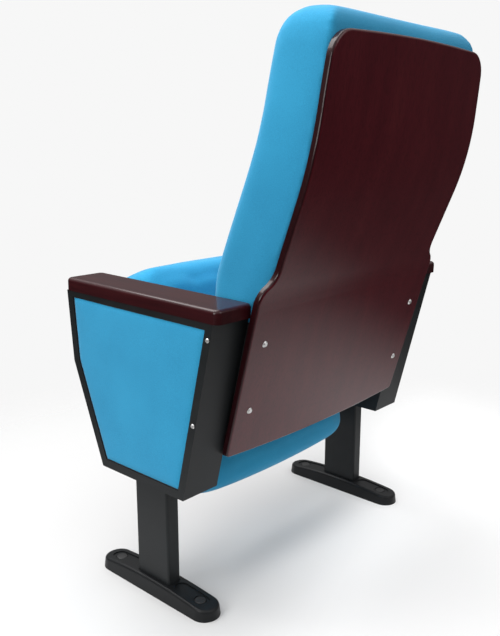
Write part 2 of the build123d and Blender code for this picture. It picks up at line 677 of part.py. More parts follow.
spine_middle = hip.length + lumbar.length + spine.length / 2
head_start = back_path.length - head.length
head_middle = head_start + (BACK_BOARD_TOP - BACK_BOARD_CORNER - (shoulder @ 1).Z) / 2
with BuildPart() as back_spacers:
    for distance in (spine_middle, head_middle):
        for across in (-SPACER_REACH, SPACER_REACH):
            with BuildSketch(back_normal(distance, across)):
                Circle(SPACER_RADIUS)
            extrude(amount=-BACK_SPACE)
save(back_spacers, "back_spacers")

PAD_REAR = BACK_SPACE + BACK_BOARD + PAD_ROOM
with BuildPart() as board_room:
    with BuildSketch(back_section(0)):
        with Locations((0, -PAD_REAR / 2)):
            Rectangle(2 * BACK_NECK, PAD_REAR)
    sweep(path=back_path)
    with BuildSketch(Plane.XZ):
        board_outline(PAD_ROOM, BACK_BOARD_TOP + PAD_ROOM)
    extrude(amount=BACK_TOP, both=True, mode=Mode.INTERSECT)

PAD_STATIONS = [0.02, 0.1, 0.25, 0.5, 1.0]
pad_start = back_length(BACK_PAD_BASE)
pad_length = back_path.length - pad_start
lumbar_middle = hip.length + lumbar.length / 2 - pad_start
lip_start = back_length(HIP_TOP) - pad_start
lip_end = lip_start + BACK_PAD_LIP
middle_step = (pad_length - lip_end - BACK_PAD_CORNER) / (BACK_PAD_MIDDLES + 1)
back_stations = (
    [share * BACK_PAD_BASE_ROUND for share in PAD_STATIONS]
    + [lip_start, lip_end]
    + [lip_end + (step + 1) * middle_step for step in range(BACK_PAD_MIDDLES)]
    + [pad_length - share * BACK_PAD_CORNER for share in reversed(PAD_STATIONS)]
)
with BuildPart() as back_pad:
    for station in back_stations:
        to_top = pad_length - station
        plane = back_section(pad_start + station)
        if station < lumbar_middle:
            share = 1 - station / lumbar_middle
            depth = BACK_PAD_LUMBAR - (BACK_PAD_LUMBAR - BACK_PAD_HIP) * share**2
        else:
            share = (station - lumbar_middle) / (pad_length - lumbar_middle)
            depth = BACK_PAD_LUMBAR - (BACK_PAD_LUMBAR - BACK_PAD_HEAD) * share
        depth -= end_inset(to_top, BACK_PAD_TOP_ROUND) + end_inset(station, BACK_PAD_BASE_ROUND)
        height = min(max(plane.origin.Z, BACK_NECK_HEIGHT), BACK_TOP)
        half = edge_half(height)
        half -= end_inset(to_top, BACK_PAD_CORNER) + end_inset(station, BACK_PAD_BASE_ROUND)
        rear = BACK_PAD_PANEL_ROOM if station > lip_start else PAD_REAR
        rear += BACK_PAD_REAR_SHARE * end_inset(to_top, BACK_PAD_TOP_ROUND)
        front_facing = Plane(plane.origin, x_dir=(-1, 0, 0), z_dir=plane.z_dir)
        with BuildSketch(front_facing):
            pad_outline(half, rear, depth, BACK_PAD_CROWN, BACK_PAD_EDGE, BACK_PAD_REAR_EDGE)
    loft(ruled=True)
    add(board_room.part, mode=Mode.SUBTRACT)
save(back_pad, "back_pad")

# Seat pivots on the arm boxes

SEAT_HALF = ARM_INNER - SEAT_SIDE_ROOM
SEAT_FRONT = SEAT_DEPTH - SEAT_REAR
RAIL_REAR = SEAT_REAR - SEAT_NOSE - RAIL_END_ROOM  # behind the pivot
RAIL_FRONT = SEAT_FRONT - SEAT_NOSE - RAIL_END_ROOM  # ahead of the pivot
RAIL_OUTER = SEAT_HALF - SEAT_SKIRT - PAD_ROOM
PLATE_INNER = ARM_INNER - PLATE_THICKNESS
COLLAR_INNER = RAIL_OUTER + BUSH_FLANGE_THICKNESS + FACE_ROOM
CLIP_INNER = RAIL_OUTER - BUSH_LENGTH - FACE_ROOM - CLIP_THICKNESS
PIN_INNER = CLIP_INNER - PIN_END
PIVOT_PLACE = (-PIVOT_REACH, PIVOT_HEIGHT)
PLATE_BOLT_PLACES = [
    (PLATE_BOLT_REACH, PIVOT_HEIGHT + sign * PLATE_BOLT_PITCH / 2) for sign in (-1, 1)
]
STOP_TIP = ARM_INNER - STOP_TIP_ROOM
stop_path = CenterArc(
    PIVOT_PLACE, STOP_REACH, 180 - SEAT_TIPPED, SEAT_TIPPED - SEAT_DOWN, mode=Mode.PRIVATE
)

for name, side in SIDES.items():
    bearer_depth = ARM_CENTRE - COLUMN_WIDTH / 2 - CHANNEL_INNER
    with BuildPart() as bearer:
        with BuildSketch(Plane.XZ.offset(-COLUMN_DEPTH / 2)):
            with Locations((side * (CHANNEL_INNER + bearer_depth / 2), PIVOT_HEIGHT)):
                Rectangle(bearer_depth, BEARER_HEIGHT)
                Rectangle(
                    bearer_depth - 2 * BEARER_WALL,
                    BEARER_HEIGHT - 2 * BEARER_WALL,
                    mode=Mode.SUBTRACT,
                )
        extrude(amount=COLUMN_DEPTH / 2 + PIVOT_REACH + BEARER_END)
        with BuildSketch(side_plane(side, CHANNEL_INNER, BEARER_WALL)):
            with Locations(PIVOT_PLACE):
                Circle(PIN_ROOT_RADIUS)
            with Locations(*PLATE_BOLT_PLACES):
                Circle(PLATE_BOLT + SCREW_ROOM)
        extrude(amount=BEARER_WALL, mode=Mode.SUBTRACT)
    save(bearer, f"{name}_pivot_bearer")

    with BuildPart() as pivot_plate:
        with BuildSketch(side_plane(side, PLATE_INNER, PLATE_THICKNESS)):
            with Locations(PIVOT_PLACE):
                Circle(PLATE_RADIUS)
            with Locations(*PLATE_BOLT_PLACES):
                Circle(PLATE_CORNER)
            make_hull()
            with Locations(PIVOT_PLACE):
                Circle(PIN_ROOT_RADIUS, mode=Mode.SUBTRACT)
            with Locations(*PLATE_BOLT_PLACES):
                Circle(PLATE_BOLT + SCREW_ROOM, mode=Mode.SUBTRACT)
            SlotArc(stop_path, 2 * (STOP_SLEEVE + STOP_ROOM), mode=Mode.SUBTRACT)
        extrude(amount=PLATE_THICKNESS)
        with BuildSketch(Plane.YZ.offset(side * PLATE_INNER)):
            with Locations(*PLATE_BOLT_PLACES):
                Circle(PLATE_BOLT_HEAD + SCREW_ROOM)
        extrude(amount=side * (PLATE_BOLT_HEAD - PLATE_BOLT), taper=45, mode=Mode.SUBTRACT)
    save(pivot_plate, f"{name}_pivot_plate")

    with BuildPart() as pivot_bolts:
        with BuildSketch(side_plane(side, PLATE_INNER, PLATE_BOLT_LENGTH)):
            with Locations(*PLATE_BOLT_PLACES):
                Circle(PLATE_BOLT)
        extrude(amount=PLATE_BOLT_LENGTH)
        with BuildSketch(Plane.YZ.offset(side * PLATE_INNER)):
            with Locations(*PLATE_BOLT_PLACES):
                Circle(PLATE_BOLT_HEAD)
        extrude(amount=side * (PLATE_BOLT_HEAD - PLATE_BOLT), taper=45)
    save(pivot_bolts, f"{name}_pivot_bolts")

    pin_outer = CHANNEL_INNER + BEARER_WALL + PIN_ROOT_END
    with BuildPart() as pivot_pin:
        for near, far, radius in (
            (PLATE_INNER, pin_outer, PIN_ROOT_RADIUS),
            (COLLAR_INNER, PLATE_INNER, PIN_COLLAR),
            (PIN_INNER, COLLAR_INNER, PIN_RADIUS),
        ):
            with BuildSketch(side_plane(side, near, far - near)):
                with Locations(PIVOT_PLACE):
                    Circle(radius)
            extrude(amount=far - near)
        groove = CLIP_THICKNESS + 2 * CLIP_ROOM
        with BuildSketch(side_plane(side, CLIP_INNER - CLIP_ROOM, groove)):
            with Locations(PIVOT_PLACE):
                Circle(PIN_RADIUS)
                Circle(PIN_RADIUS - CLIP_GROOVE, mode=Mode.SUBTRACT)
        extrude(amount=groove, mode=Mode.SUBTRACT)
    save(pivot_pin, f"{name}_pivot_pin")

    with BuildPart() as pivot_clip:
        with BuildSketch(side_plane(side, CLIP_INNER, CLIP_THICKNESS)):
            with Locations(PIVOT_PLACE):
                Circle(CLIP_RADIUS)
                Circle(PIN_RADIUS - CLIP_GROOVE + CLIP_ROOM, mode=Mode.SUBTRACT)
        extrude(amount=CLIP_THICKNESS)
    save(pivot_clip, f"{name}_pivot_clip")

    with BuildPart() as bush:
        for near, far, radius in (
            (RAIL_OUTER - BUSH_LENGTH, RAIL_OUTER, BUSH_RADIUS),
            (RAIL_OUTER, RAIL_OUTER + BUSH_FLANGE_THICKNESS, BUSH_FLANGE),
        ):
            with BuildSketch(side_plane(side, near, far - near)):
                with Locations(PIVOT_PLACE):
                    Circle(radius)
                    Circle(PIN_RADIUS + RUNNING_ROOM, mode=Mode.SUBTRACT)
            extrude(amount=far - near)
    save(bush, f"{name}_pivot_bush")

    rail_inner = RAIL_OUTER - RAIL_SHEET
    with BuildPart() as rail:
        with BuildSketch(seat_section(-RAIL_REAR)):
            with Locations((side * (RAIL_OUTER - RAIL_FLANGE / 2), 0)):
                Rectangle(RAIL_FLANGE, RAIL_HEIGHT)
            with Locations((side * (rail_inner - RAIL_FLANGE / 2), 0)):
                Rectangle(RAIL_FLANGE, RAIL_HEIGHT - 2 * RAIL_SHEET, mode=Mode.SUBTRACT)
        extrude(amount=RAIL_REAR + RAIL_FRONT)
        with BuildSketch(seat_side(side, rail_inner, RAIL_SHEET)):
            Circle(BUSH_RADIUS)
            with Locations((-STOP_REACH, 0)):
                Circle(STOP_RADIUS)
        extrude(amount=RAIL_SHEET, mode=Mode.SUBTRACT)
        with BuildSketch(seat_level(-RAIL_HEIGHT / 2)):
            with Locations((side * (rail_inner - RAIL_FLANGE / 2), -SEAT_DEPTH / 2 + SEAT_REAR)):
                with GridLocations(0, SEAT_SCREW_PITCH, 1, 2):
                    Circle(SEAT_SCREW + SCREW_ROOM)
        extrude(amount=RAIL_HEIGHT, mode=Mode.SUBTRACT)
    save(rail, f"{name}_seat_rail")

    with BuildPart() as stop_pin:
        with BuildSketch(seat_side(side, rail_inner, STOP_TIP - rail_inner)):
            with Locations((-STOP_REACH, 0)):
                Circle(STOP_RADIUS)
        extrude(amount=STOP_TIP - rail_inner)
        with BuildSketch(seat_side(side, rail_inner - RAIL_SHEET, RAIL_SHEET)):
            with Locations((-STOP_REACH, 0)):
                Circle(STOP_SLEEVE)
        extrude(amount=RAIL_SHEET)
    save(stop_pin, f"{name}_stop_pin")

    with BuildPart() as stop_sleeve:
        sleeve_inner = PLATE_INNER - STOP_RADIUS
        with BuildSketch(seat_side(side, sleeve_inner, STOP_TIP - sleeve_inner)):
            with Locations((-STOP_REACH, 0)):
                Circle(STOP_SLEEVE)
                Circle(STOP_RADIUS, mode=Mode.SUBTRACT)
        extrude(amount=STOP_TIP - sleeve_inner)
    save(stop_sleeve, f"{name}_stop_sleeve")

# Seat: inner board, outer pan, bars and pad, modelled tipped up

SEAT_MIDDLE = SEAT_DEPTH / 2 - SEAT_REAR
POCKET_HALF = SEAT_HALF - SEAT_SKIRT
POCKET_DEPTH = SEAT_DEPTH - 2 * SEAT_NOSE
SCREW_REACH = RAIL_OUTER - RAIL_SHEET - RAIL_FLANGE / 2


def seat_plan(half_width, depth, corner):
    """Rounded rectangle of the seat seen from above, in the sketch at hand."""
    with Locations((0, -SEAT_MIDDLE)):
        RectangleRounded(2 * half_width, depth, corner)


def seat_screw_circles(radius):
    """One circle at each seat screw, in the sketch at hand."""
    with Locations((0, -SEAT_MIDDLE)):
        with GridLocations(2 * SCREW_REACH, SEAT_SCREW_PITCH, 2, 2):
            Circle(radius)


with BuildPart() as seat_board:
    with BuildSketch(seat_level(RAIL_HEIGHT / 2)):
        seat_plan(POCKET_HALF - PAD_ROOM, POCKET_DEPTH - 2 * PAD_ROOM, SEAT_POCKET_CORNER - PAD_ROOM)
    extrude(amount=SEAT_BOARD)
    with BuildSketch(seat_level(RAIL_HEIGHT / 2)):
        seat_screw_circles(SEAT_SCREW + SCREW_ROOM)
    extrude(amount=SEAT_SCREW_DEPTH + SCREW_ROOM, mode=Mode.SUBTRACT)
save(seat_board, "seat_board")

with BuildPart() as seat_board_screws:
    with BuildSketch(seat_level(RAIL_HEIGHT / 2 - RAIL_SHEET)):
        seat_screw_circles(SEAT_SCREW)
    extrude(amount=RAIL_SHEET + SEAT_SCREW_DEPTH)
    with BuildSketch(seat_level(RAIL_HEIGHT / 2 - RAIL_SHEET)):
        seat_screw_circles(SEAT_SCREW_HEAD)
    extrude(amount=-SEAT_SCREW_DOME, taper=30)
save(seat_board_screws, "seat_board_screws")

with BuildPart() as seat_pan:
    with BuildSketch(seat_level(-RAIL_HEIGHT / 2)):
        seat_plan(SEAT_HALF - SEAT_PAN_INSET, SEAT_DEPTH - 2 * SEAT_PAN_INSET, SEAT_PAN_CORNER)
    extrude(amount=-SEAT_PAN)
    fillet(seat_pan.faces().sort_by(Axis(PIVOT, SEAT_UP))[0].edges(), SEAT_PAN_EDGE)
    with BuildSketch(seat_level(-RAIL_HEIGHT / 2)):
        seat_screw_circles(SEAT_SCREW + SCREW_ROOM)
    extrude(amount=-SEAT_PAN, mode=Mode.SUBTRACT)
save(seat_pan, "seat_pan")

with BuildPart() as seat_pan_screws:
    with BuildSketch(seat_level(-RAIL_HEIGHT / 2 - SEAT_PAN)):
        seat_screw_circles(SEAT_SCREW)
    extrude(amount=SEAT_PAN + RAIL_SHEET)
    with BuildSketch(seat_level(-RAIL_HEIGHT / 2 - SEAT_PAN)):
        seat_screw_circles(SEAT_SCREW_HEAD)
    extrude(amount=-SEAT_SCREW_DOME, taper=30)
save(seat_pan_screws, "seat_pan_screws")

bar_width = 2 * (RAIL_OUTER - RAIL_SHEET)
bar_height = RAIL_HEIGHT - 2 * RAIL_SHEET
with BuildPart() as counterweight:
    with BuildSketch(seat_section(WEIGHT_INSET - RAIL_REAR)):
        Rectangle(bar_width, bar_height)
    extrude(amount=WEIGHT_DEPTH)
save(counterweight, "counterweight")

with BuildPart() as front_bar:
    with BuildSketch(seat_side(1, -bar_width / 2, bar_width)):
        with Locations((FRONT_BAR_DEPTH / 2 - RAIL_FRONT, 0)):
            Rectangle(FRONT_BAR_DEPTH, bar_height)
            Rectangle(
                FRONT_BAR_DEPTH - 2 * FRONT_BAR_WALL,
                bar_height - 2 * FRONT_BAR_WALL,
                mode=Mode.SUBTRACT,
            )
    extrude(amount=bar_width)
save(front_bar, "seat_front_bar")

seat_low = PAD_ROOM - RAIL_HEIGHT / 2
BOW_STATIONS = [0.04, 0.2, 0.5, 0.8]
bow_half = SEAT_HALF - end_inset(PAD_STATIONS[0] * SEAT_PAD_CORNER, SEAT_PAD_CORNER)


def pad_half(to_end):
    """Half width of the seat pad at a distance from its end's corners, less than 0 in the bow."""
    if to_end < 0:
        return bow_half * sqrt(1 + to_end / SEAT_BOW)
    return SEAT_HALF - end_inset(to_end, SEAT_PAD_CORNER)


seat_stations = (
    [(share - 1) * SEAT_BOW for share in BOW_STATIONS]
    + [share * SEAT_PAD_CORNER for share in PAD_STATIONS]
    + [SEAT_DEPTH / 2]
    + [SEAT_DEPTH - share * SEAT_PAD_CORNER for share in reversed(PAD_STATIONS)]
    + [SEAT_DEPTH + (1 - share) * SEAT_BOW for share in reversed(BOW_STATIONS)]
)
with BuildPart() as seat_pad:
    for station in seat_stations:
        to_end = min(station, SEAT_DEPTH - station)
        to_tip = to_end + SEAT_BOW
        half = pad_half(to_end)
        with BuildSketch(seat_section(station - SEAT_REAR)):
            pad_outline(
                half,
                seat_low + end_inset(to_tip, SEAT_PAD_LOW_ROUND),
                SEAT_PAD_HEIGHT - end_inset(to_tip, SEAT_PAD_ROUND),
                SEAT_PAD_CROWN * min(1, half / bow_half),
                SEAT_PAD_EDGE,
                SEAT_PAD_LOW_EDGE,
            )
    loft(ruled=True)
    with BuildSketch(seat_level(seat_low - PAD_ROOM)):
        seat_plan(POCKET_HALF, POCKET_DEPTH, SEAT_POCKET_CORNER)
    extrude(amount=RAIL_HEIGHT + SEAT_BOARD + PAD_ROOM, mode=Mode.SUBTRACT)
    with BuildSketch(seat_side(1, -SEAT_HALF, 2 * SEAT_HALF)):
        Circle(BUSH_FLANGE + SKIRT_HOLE_ROOM)
        with Locations((-STOP_REACH, 0)):
            Circle(STOP_SLEEVE + SKIRT_HOLE_ROOM)
    extrude(amount=2 * SEAT_HALF, mode=Mode.SUBTRACT)
save(seat_pad, "seat_pad")
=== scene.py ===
"""Looks of a tip-up conference chair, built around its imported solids.

X points to the sitter's left, Y to the rear and Z up, in metres, with the floor at zero.
"""

from __future__ import annotations

import json
import logging
import math
from dataclasses import dataclass, field
from enum import Enum

import bpy
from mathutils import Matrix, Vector

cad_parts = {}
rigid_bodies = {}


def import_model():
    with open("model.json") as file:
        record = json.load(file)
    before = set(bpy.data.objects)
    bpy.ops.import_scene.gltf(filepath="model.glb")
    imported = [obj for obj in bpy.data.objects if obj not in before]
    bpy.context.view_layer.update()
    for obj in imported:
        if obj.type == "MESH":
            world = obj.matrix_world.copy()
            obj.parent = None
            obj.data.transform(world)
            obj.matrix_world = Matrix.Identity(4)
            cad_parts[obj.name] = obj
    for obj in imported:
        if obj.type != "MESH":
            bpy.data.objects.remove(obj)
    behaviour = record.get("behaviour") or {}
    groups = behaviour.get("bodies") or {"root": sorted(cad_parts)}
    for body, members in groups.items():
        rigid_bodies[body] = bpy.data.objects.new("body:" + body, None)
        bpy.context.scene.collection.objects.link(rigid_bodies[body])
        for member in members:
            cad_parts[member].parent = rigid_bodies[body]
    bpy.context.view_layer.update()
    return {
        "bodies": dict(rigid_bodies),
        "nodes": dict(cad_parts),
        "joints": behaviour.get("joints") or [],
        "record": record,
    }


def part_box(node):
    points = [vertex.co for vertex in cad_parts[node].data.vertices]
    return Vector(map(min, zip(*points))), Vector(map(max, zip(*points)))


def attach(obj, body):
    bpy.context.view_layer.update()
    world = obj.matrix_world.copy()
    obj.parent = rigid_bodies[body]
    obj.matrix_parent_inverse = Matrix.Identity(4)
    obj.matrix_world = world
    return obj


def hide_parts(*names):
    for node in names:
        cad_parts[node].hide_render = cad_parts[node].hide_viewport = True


LOG = logging.getLogger("conference_chair")

Triple = tuple[float, float, float]
Range = tuple[float, float]
Socket = bpy.types.NodeSocket

WHITE = (1.0, 1.0, 1.0, 1.0)
SHARP_ANGLE = math.radians(40)
SAME_POINT = 1e-5
SEAT_SLOPE = 69.0  # degrees, of the seat tipped up


class Slot(Enum):
    """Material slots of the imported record."""

    BLACK_STEEL = "black_steel"
    FABRIC = "fabric"
    MAHOGANY = "mahogany"
    PLYWOOD = "plywood"
    ZINC_STEEL = "zinc_steel"
    BRIGHT_SCREW = "bright_screw"
    NYLON = "nylon"
    RUBBER = "rubber"


class Finish(Enum):
    """Finishes of the chair, with the names of their materials."""

    CLOTH = "blue_cloth"
    SEAT_CLOTH = "blue_seat_cloth"
    UPRIGHT_WOOD = "mahogany_upright"
    LEVEL_WOOD = "mahogany_level"
    POWDER = "black_powder_coat"
    SHADED_FOOT_COAT = "black_foot_coat_shaded"
    PLYWOOD = "seam_shade_plywood"
    ZINC = "zinc_plate"
    NICKEL = "nickel_plate"
    NYLON = "black_nylon"
    RUBBER = "black_rubber"


class Side(Enum):
    """The two sides of the chair, with the sign of their X."""

    LEFT = 1
    RIGHT = -1

    @property
    def prefix(self) -> str:
        """Start of the node names on this side."""
        return self.name.lower()


class Corner(Enum):
    """Corners of a side panel in order, with the way, rearwards and up, that each lies furthest out."""

    REAR_FOOT = (0.3, -1.0)
    REAR_TOP = (1.0, 1.0)
    FRONT_TOP = (-2.0, 1.0)
    BEND = (-1.0, -0.32)
    FRONT_FOOT = (-1.0, -1.0)


def deselect_all() -> None:
    """Leave nothing selected, in object mode."""
    if bpy.context.object is not None and bpy.context.object.mode != "OBJECT":
        bpy.ops.object.mode_set(mode="OBJECT")
    bpy.ops.object.select_all(action="DESELECT")


def activate(piece: bpy.types.Object) -> None:
    """Select one piece alone and make it the active one.

    Args:
        piece: The object that the next operators act on.
    """
    deselect_all()
    piece.select_set(True)
    bpy.context.view_layer.objects.active = piece


def edit_all(piece: bpy.types.Object) -> None:
    """Open a piece for editing, with its whole mesh selected.

    Args:
        piece: The object to edit.
    """
    activate(piece)
    bpy.ops.object.mode_set(mode="EDIT")
    bpy.ops.mesh.select_all(action="SELECT")


def apply_modifier(piece: bpy.types.Object, name: str) -> None:
    """Apply one modifier of a piece.

    Args:
        piece: The object that has the modifier.
        name: The modifier's name.
    """
    activate(piece)
    bpy.ops.object.modifier_apply(modifier=name)


def settle(piece: bpy.types.Object) -> None:
    """Put a piece's place into its mesh and shade it smooth.

    Args:
        piece: The object to finish.
    """
    activate(piece)
    bpy.ops.object.transform_apply(location=True, rotation=True, scale=True)
    bpy.ops.object.shade_smooth_by_angle(angle=SHARP_ANGLE)
    deselect_all()


class Tree:
    """A node tree, with short calls for the nodes that both the finishes and the studio use."""

    def __init__(self, tree: bpy.types.NodeTree) -> None:
        """Take a node tree.

        Args:
            tree: The tree that the calls add to.
        """
        self.nodes = tree.nodes
        self.links = tree.links

    def add(self, kind: str, inputs: dict | None = None, **settings: object) -> bpy.types.Node:
        """Add a node.

        Args:
            kind: The node's type name.
            inputs: Values or sockets for its inputs, by name or number.
            settings: Attributes of the node, such as its operation.

        Returns:
            The new node.
        """
        node = self.nodes.new(kind)
        for key, value in settings.items():
            setattr(node, key, value)
        for key, value in (inputs or {}).items():
            if isinstance(value, Socket):
                self.links.new(value, node.inputs[key])
            else:
                node.inputs[key].default_value = value
        return node

    def math(self, operation: str, first: object, second: object, third: object = 0.0) -> Socket:
        """Add a Math node.

        Args:
            operation: The Math node's operation.
            first: First value or socket.
            second: Second value or socket.
            third: Third value or socket, where the operation has one.

        Returns:
            The result's socket.
        """
        inputs = {0: first, 1: second, 2: third}
        return self.add("ShaderNodeMath", inputs, operation=operation).outputs[0]

    def dot(self, vector: Socket, direction: Triple) -> Socket:
        """How far a vector reaches in a direction.

        Args:
            vector: The vector's socket.
            direction: The direction.

        Returns:
            The distance's socket.
        """
        inputs = {0: vector, 1: direction}
        return self.add("ShaderNodeVectorMath", inputs, operation="DOT_PRODUCT").outputs["Value"]

    def ease(self, value: Socket, reach: Range, ends: Range) -> Socket:
        """Go smoothly from one number to another while a value crosses a range.

        Args:
            value: The value's socket.
            reach: Start and end of the range.
            ends: The numbers before and after it.

        Returns:
            The number's socket.
        """
        limits = zip(("From Min", "From Max", "To Min", "To Max"), (*reach, *ends))
        inputs = {"Value": value, **dict(limits)}
        node = self.add("ShaderNodeMapRange", inputs, interpolation_type="SMOOTHSTEP")
        return node.outputs["Result"]


class Graph(Tree):
    """Node tree of one material, with short calls for the nodes that the finishes use."""

    def __init__(self, name: str) -> None:
        """Start a material with its principled shader.

        Args:
            name: The material's name.
        """
        self.material = bpy.data.materials.new(name)
        self.material.use_nodes = True
        super().__init__(self.material.node_tree)
        self.shader = self.nodes["Principled BSDF"]

    def set(self, **values: object) -> None:
        """Set numbers and colours on the shader's own sockets.

        Args:
            values: Socket names in lower case with underscores, and their values.
        """
        for key, value in values.items():
            wanted = key.replace("_", " ")
            socket = next(s for s in self.shader.inputs if s.name.lower() == wanted)
            socket.default_value = value

    def feed(self, socket: Socket, name: str) -> None:
        """Drive one of the shader's sockets.

        Args:
            socket: What drives it.
            name: The shader's socket.
        """
        self.links.new(socket, self.shader.inputs[name])

    def place(self, scale: Triple = (1, 1, 1), turn: Triple = (0, 0, 0)) -> Socket:
        """Object coordinates, turned and scaled.

        Args:
            scale: Scale on each axis.
            turn: Rotation about each axis, in degrees.

        Returns:
            The coordinates' socket.
        """
        source = self.add("ShaderNodeTexCoord").outputs["Object"]
        rotation = tuple(math.radians(angle) for angle in turn)
        inputs = {"Vector": source, "Scale": scale, "Rotation": rotation}
        return self.add("ShaderNodeMapping", inputs).outputs[0]

    def facing(self) -> bpy.types.NodeOutputs:
        """Share of the surface that faces each axis of its object.

        Returns:
            The sockets of the shares on X, Y and Z, which add up to 1.
        """
        normal = self.add("ShaderNodeNewGeometry").outputs["Normal"]
        settings = {"vector_type": "NORMAL", "convert_from": "WORLD", "convert_to": "OBJECT"}
        local = self.add("ShaderNodeVectorTransform", {0: normal}, **settings).outputs[0]
        squares = self.add("ShaderNodeVectorMath", {0: local, 1: local}, operation="MULTIPLY")
        return self.add("ShaderNodeSeparateXYZ", {0: squares.outputs[0]}).outputs

    def noise(self, where: Socket, scale: float, detail: float) -> Socket:
        """Add a noise texture.

        Args:
            where: The coordinates' socket.
            scale: Scale of the noise.
            detail: Number of finer octaves.

        Returns:
            The socket of its value from 0 to 1.
        """
        node = self.add("ShaderNodeTexNoise", {"Vector": where, "Scale": scale, "Detail": detail})
        return node.outputs[0]

    def sum_of(self, *parts: tuple[Socket, object]) -> Socket:
        """Add up values, each by its share.

        Args:
            parts: Values and their shares, which are numbers or sockets.

        Returns:
            The sum's socket.
        """
        terms = [self.math("MULTIPLY", value, share) for value, share in parts]
        total = terms[0]
        for term in terms[1:]:
            total = self.math("ADD", total, term)
        return total

    def ramp(self, value: Socket, stops: list[tuple[float, Triple]]) -> Socket:
        """Add a colour ramp.

        Args:
            value: The socket that drives the ramp.
            stops: Positions and colours.

        Returns:
            The colour's socket.
        """
        node = self.add("ShaderNodeValToRGB", {"Fac": value})
        band = node.color_ramp.elements
        while len(band) < len(stops):
            band.new(0.5)
        for element, (position, colour) in zip(band, stops):
            element.position = position
            element.color = (*colour, 1.0)
        return node.outputs[0]

    def mix(self, share: object, first: object, second: object, blend: str = "MIX") -> Socket:
        """Mix two colours.

        Args:
            share: Share of the second colour.
            first: First colour or socket.
            second: Second colour or socket.
            blend: Blend mode.

        Returns:
            The colour's socket.
        """
        node = self.add("ShaderNodeMix", data_type="RGBA", blend_type=blend)
        for index, value in ((0, share), (6, first), (7, second)):
            if isinstance(value, Socket):
                self.links.new(value, node.inputs[index])
            else:
                node.inputs[index].default_value = value if index == 0 else (*value, 1.0)
        return node.outputs[2]

    def bump(self, height: Socket, strength: float, distance: float) -> None:
        """Raise the surface by a height.

        Args:
            height: The height's socket.
            strength: Strength from 0 to 1.
            distance: Height in metres.
        """
        inputs = {"Height": height, "Strength": strength, "Distance": distance}
        self.feed(self.add("ShaderNodeBump", inputs).outputs[0], "Normal")


@dataclass(frozen=True)
class Upholstery:
    """Blue plain-weave cloth with a light melange and a soft sheen."""

    light: Triple = (0.038, 0.375, 0.650)
    dark: Triple = (0.022, 0.268, 0.495)
    pitch: float = 0.0017
    lean: float = 0.0
    relief: float = 0.0004
    fleck_scale: float = 620.0
    cloud_scale: float = 7.0

    def weave(self, g: Graph, where: Socket) -> Socket:
        """Height of the crossing threads, on whichever plane the cloth lies.

        Args:
            g: The material's nodes.
            where: The coordinates' socket.

        Returns:
            The socket of the height from 0 to 1.
        """
        turns = 2 * math.pi / self.pitch
        threads = g.add("ShaderNodeVectorMath", {0: where, 1: (turns,) * 3}, operation="MULTIPLY")
        waves = g.add("ShaderNodeVectorMath", {0: threads.outputs[0]}, operation="SINE")
        wave = g.add("ShaderNodeSeparateXYZ", {0: waves.outputs[0]}).outputs
        planes = (("Y", "Z"), ("X", "Z"), ("X", "Y"))
        crossings = [g.math("MULTIPLY", wave[first], wave[second]) for first, second in planes]
        height = g.sum_of(*zip(crossings, g.facing()))
        return g.math("MULTIPLY_ADD", height, 0.5, 0.5)

    def build(self, name: str) -> bpy.types.Material:
        """Make the material.

        Args:
            name: The material's name.

        Returns:
            The material.
        """
        g = Graph(name)
        g.set(roughness=0.88, sheen_weight=0.28, sheen_roughness=0.4, specular_ior_level=0.2)
        g.set(sheen_tint=(0.75, 0.9, 1.0, 1.0))
        where = g.place(turn=(self.lean, 0, 0))
        woven = self.weave(g, where)
        flecks = g.noise(where, self.fleck_scale, 2)
        clouds = g.noise(where, self.cloud_scale, 3)
        tone = g.sum_of((flecks, 0.55), (clouds, 0.45))
        yarn = g.ramp(tone, [(0.32, self.dark), (0.68, self.light)])
        g.feed(g.mix(g.math("MULTIPLY", woven, 0.3), yarn, self.light), "Base Color")
        g.bump(g.math("MULTIPLY_ADD", flecks, 0.5, woven), 0.35, self.relief)
        return g.material


@dataclass(frozen=True)
class LacqueredWood:
    """Dark red-brown veneer under clear gloss lacquer, with painted shade on the faces that do not face
    the object's Y axis, such as the back panel's edges.
    """

    # Painted light: these tones are brighter than the armrest's copy of the same mahogany, to make up for
    # the weaker light on the back panel.
    dark: Triple = (0.0680, 0.0042, 0.0088)
    middle: Triple = (0.0820, 0.0060, 0.0112)
    light: Triple = (0.0980, 0.0100, 0.0145)
    stretch: Triple = (1.0, 1.0, 0.05)
    # painted shade: share of the colour left on faces that do not face the object's Y axis; 1.0 paints
    # none
    edge: float = 0.25
    lacquer: float = 0.58
    figure_scale: float = 26.0
    fibre_scale: float = 160.0
    pore_scale: float = 520.0
    flow_scale: float = 7.0

    def build(self, name: str) -> bpy.types.Material:
        """Make the material.

        Args:
            name: The material's name.

        Returns:
            The material.
        """
        g = Graph(name)
        g.set(roughness=0.42, specular_ior_level=0.12)
        g.set(coat_weight=self.lacquer, coat_roughness=0.1, coat_ior=1.45)
        where = g.place(scale=self.stretch)
        figure = g.noise(where, self.figure_scale, 5)
        fibres = g.noise(where, self.fibre_scale, 4)
        tone = g.sum_of((figure, 0.7), (fibres, 0.3))
        grain = g.ramp(tone, [(0.30, self.dark), (0.52, self.middle), (0.74, self.light)])
        pores = g.noise(where, self.pore_scale, 2)
        worn = g.ramp(pores, [(0.34, (0.55, 0.5, 0.5)), (0.5, (1, 1, 1))])
        veneer = g.mix(0.55, grain, worn, "MULTIPLY")
        # Painted shade: darken the faces that do not face the object's Y axis, so that the panel's lit
        # side edges read dark.
        painted_side_shade = g.ramp(g.facing()["Y"], [(0.45, (self.edge,) * 3), (0.8, (1, 1, 1))])
        g.feed(g.mix(1.0, veneer, painted_side_shade, "MULTIPLY"), "Base Color")
        flow = g.noise(g.place(), self.flow_scale, 2)
        g.bump(g.math("MULTIPLY_ADD", fibres, 0.02, flow), 0.08, 0.002)
        return g.material


